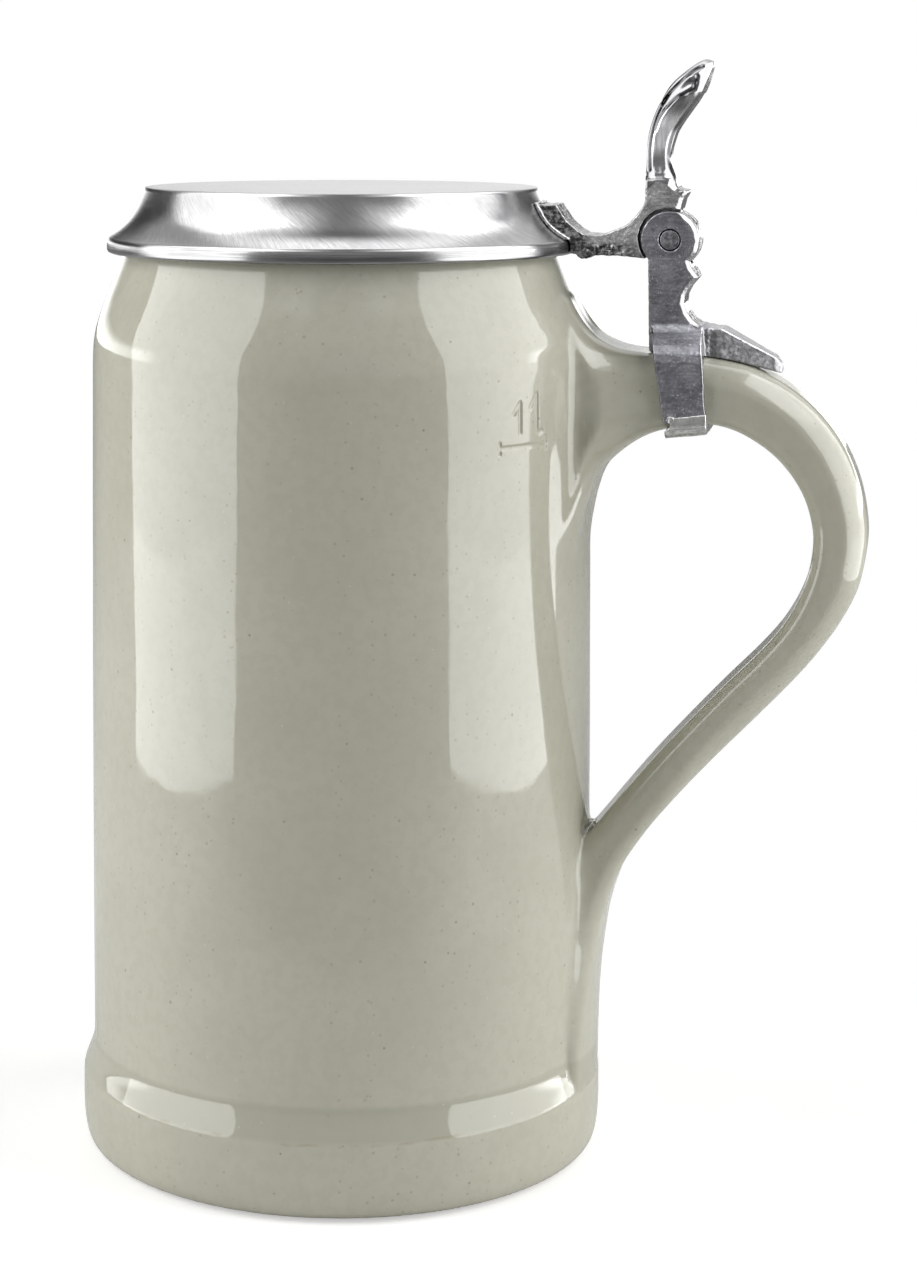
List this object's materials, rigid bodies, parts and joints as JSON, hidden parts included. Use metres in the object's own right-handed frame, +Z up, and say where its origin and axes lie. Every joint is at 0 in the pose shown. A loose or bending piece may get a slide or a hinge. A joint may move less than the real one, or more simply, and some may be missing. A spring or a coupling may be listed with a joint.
{
  "type": "lidded beer stein",
  "caption": "Tall cylindrical stoneware drinking stein with a loop handle and a hinged tin lid raised by a thumblift over the handle.",
  "frame": {"origin": "centre of the mug's flat underside", "axes": "+Z up along the mug's axis; +X towards the handle; +Y completes the right-handed frame, across the handle"},
  "size_m": [0.1663, 0.11, 0.2286],
  "materials": {
    "stoneware_glaze": "clear gloss glaze over grey-green stoneware with fine dark specks, unglazed underside",
    "tin_lid": "bright tin, finely brushed round the flare",
    "tin_casting_arm": "cast tin, granular on the flanks, polished on the thumblift and edges",
    "tin_casting_post": "cast tin, dull and granular flanks with polished edges",
    "tin_solder": "solder, wiped smooth",
    "pin_steel": "drawn wire",
    "tin_plug": "tin plug, filed flush",
    "tin_strip": "tin strip, soldered and left matt"
  },
  "bodies": {
    "mug": {"stoneware_mug": "stoneware_glaze", "hinge_post": "tin_casting_post", "hinge_pin": "pin_steel", "pin_plug_front": "tin_plug", "pin_plug_back": "tin_plug", "clamp_bridge": "tin_strip"},
    "lid": {"lid_shell": "tin_lid", "lid_arm": "tin_casting_arm", "tab_solder_bead": "tin_solder"}
  },
  "joints": [
    {"name": "lid_hinge", "type": "hinge", "parent": "mug", "child": "lid", "pos_m": [0.0708, 0, 0.19095], "axis": [0, 1, 0], "range_deg": [0, 116]}
  ]
}
